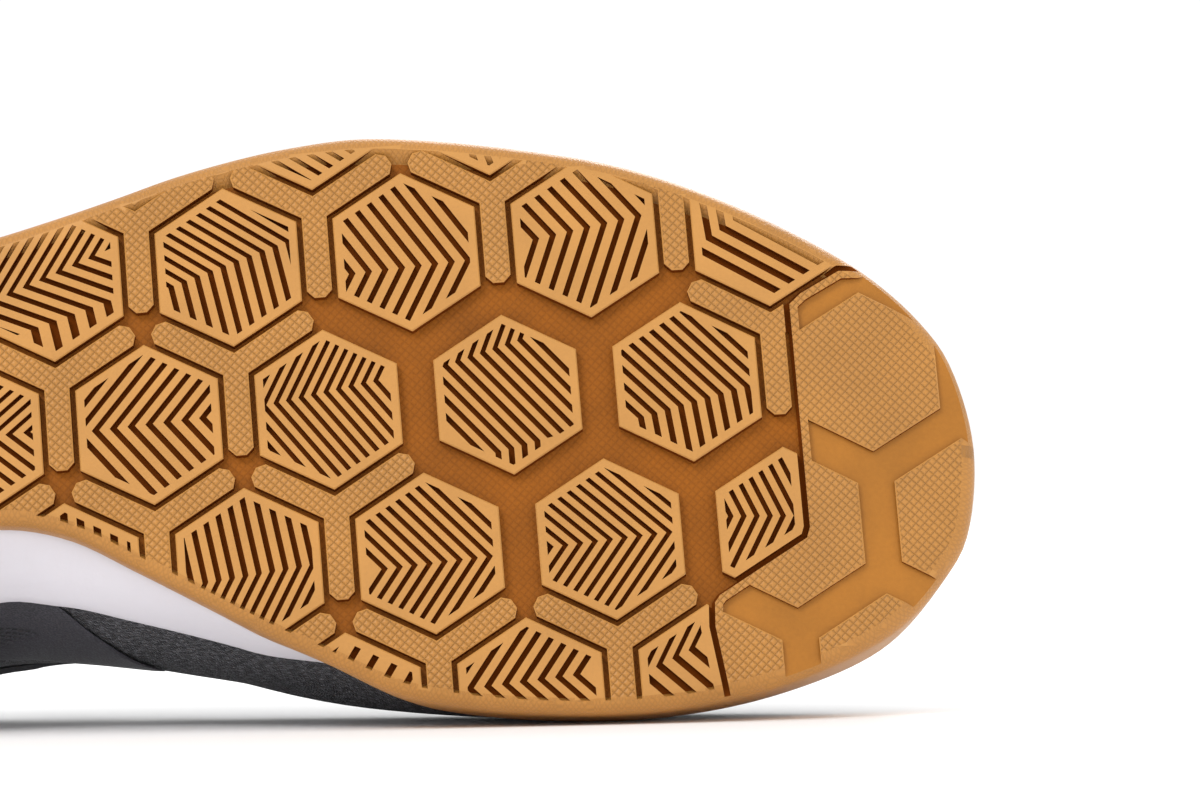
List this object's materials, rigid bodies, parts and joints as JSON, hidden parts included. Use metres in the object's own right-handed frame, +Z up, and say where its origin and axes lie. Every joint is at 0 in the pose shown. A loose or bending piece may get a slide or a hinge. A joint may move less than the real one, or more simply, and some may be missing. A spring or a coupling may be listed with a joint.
{
  "type": "indoor soccer shoe",
  "caption": "Low indoor soccer shoe for the right foot with a gum tread of six-sided lugs, foam midsole and knitted upper, lying on its medial side.",
  "frame": {"origin": "on the floor, in the middle of the lying shoe's bounding box", "axes": "+X from the heel to the toe, +Z up, the tread faces -Y; the shoe's lateral side is up and its medial side lies on the floor"},
  "size_m": [0.2986, 0.12, 0.105],
  "materials": {
    "gum_rubber": "matte moulded gum",
    "midsole_foam": "matte foam",
    "insole_foam": "matte cloth top",
    "knit": "matte knit",
    "film": "satin film",
    "eyestay_film": "satin film",
    "lining": "matte padded cloth",
    "lace": "matte woven"
  },
  "bodies": {
    "root": {"outsole": "gum_rubber", "midsole": "midsole_foam", "insole": "insole_foam", "upper": "knit", "quarter_film": "film", "eyestay": "eyestay_film", "tongue": "lining", "laces": "lace"}
  },
  "joints": []
}
